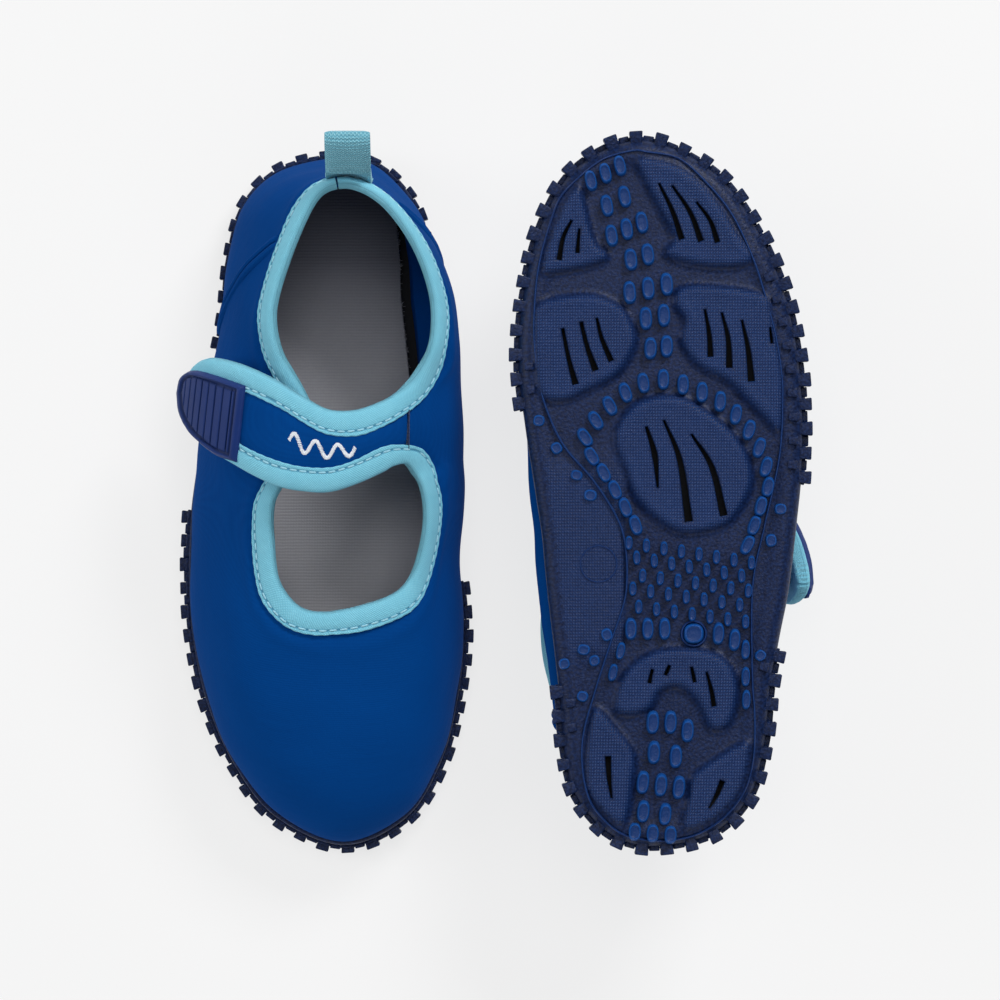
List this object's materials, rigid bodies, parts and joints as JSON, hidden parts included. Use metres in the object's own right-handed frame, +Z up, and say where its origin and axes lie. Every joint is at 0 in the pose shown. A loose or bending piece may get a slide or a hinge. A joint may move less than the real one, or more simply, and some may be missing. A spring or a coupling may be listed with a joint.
{
  "type": "water shoes",
  "caption": "Pair of children's neoprene water shoes with a studded rubber sole, edge binding, hook-and-loop instep strap and heel loop; one upright, one turned sole up.",
  "frame": {"origin": "on the floor under the centre of the pair's bounding box", "axes": "+Z up; the right shoe stands on its sole with its toe towards -Y; the left shoe lies turned over with its toe towards +Y"},
  "size_m": [0.1668, 0.187, 0.0602],
  "materials": {
    "rubber": "moulded navy rubber, fine grain",
    "board": "black fibre board",
    "insole": "ribbed grey textile on foam",
    "neoprene": "blue jersey-faced neoprene",
    "binding": "light blue bias tape",
    "webbing": "light blue woven webbing",
    "tab": "moulded navy rubber, ribbed",
    "patch": "dark hook-and-loop tape",
    "thread": "pale embroidery thread"
  },
  "bodies": {
    "right_shoe": {"right_outsole": "rubber", "right_midsole_board": "board", "right_insole": "insole", "right_upper": "neoprene", "right_heel_panel": "neoprene", "right_topline_binding": "binding", "right_collar_binding": "binding", "right_loop_patch": "patch"},
    "right_heel_loop_body": {"right_heel_loop": "webbing"},
    "right_strap_body": {"right_strap": "neoprene", "right_strap_rear_binding": "binding", "right_strap_front_binding": "binding", "right_strap_ornament": "thread"},
    "right_strap_end_body": {"right_strap_end": "neoprene", "right_strap_end_binding": "binding", "right_pull_tab": "tab", "right_hook_patch": "patch"},
    "left_shoe": {"left_outsole": "rubber", "left_midsole_board": "board", "left_insole": "insole", "left_upper": "neoprene", "left_heel_panel": "neoprene", "left_topline_binding": "binding", "left_collar_binding": "binding", "left_loop_patch": "patch"},
    "left_heel_loop_body": {"left_heel_loop": "webbing"},
    "left_strap_body": {"left_strap": "neoprene", "left_strap_rear_binding": "binding", "left_strap_front_binding": "binding", "left_strap_ornament": "thread"},
    "left_strap_end_body": {"left_strap_end": "neoprene", "left_strap_end_binding": "binding", "left_pull_tab": "tab", "left_hook_patch": "patch"}
  },
  "joints": [
    {"name": "left_shoe_turn", "type": "hinge", "parent": "right_shoe", "child": "left_shoe", "pos_m": [0.0433, 0, 0.0261], "axis": [0, 1, 0], "range_deg": [0, 180]},
    {"name": "right_heel_loop_fold", "type": "hinge", "parent": "right_shoe", "child": "right_heel_loop_body", "pos_m": [-0.037, 0.0825, 0.0512], "axis": [1, 0, 0], "range_deg": [-15, 105], "stiffness_Nm_per_rad": 0.01},
    {"name": "right_strap_swing", "type": "hinge", "parent": "right_shoe", "child": "right_strap_body", "pos_m": [-0.0232, 0.0179, 0.0467], "axis": [0, 0.9965, 0.084], "range_deg": [0, 150]},
    {"name": "right_strap_peel", "type": "hinge", "parent": "right_strap_body", "child": "right_strap_end_body", "pos_m": [-0.0624, 0.0195, 0.0462], "axis": [0.007, 0.9994, 0.033], "range_deg": [0, 60]},
    {"name": "left_heel_loop_fold", "type": "hinge", "parent": "left_shoe", "child": "left_heel_loop_body", "pos_m": [0.0394, -0.0617, 0.0028], "axis": [1, 0, 0], "range_deg": [-150, 0], "stiffness_Nm_per_rad": 0.01},
    {"name": "left_strap_swing", "type": "hinge", "parent": "left_shoe", "child": "left_strap_body", "pos_m": [0.0256, -0.0059, 0.0055], "axis": [0, 0.9965, 0.084], "range_deg": [0, 150]},
    {"name": "left_strap_peel", "type": "hinge", "parent": "left_strap_body", "child": "left_strap_end_body", "pos_m": [0.0648, -0.0075, 0.006], "axis": [0.007, 0.9994, 0.033], "range_deg": [0, 60]}
  ]
}
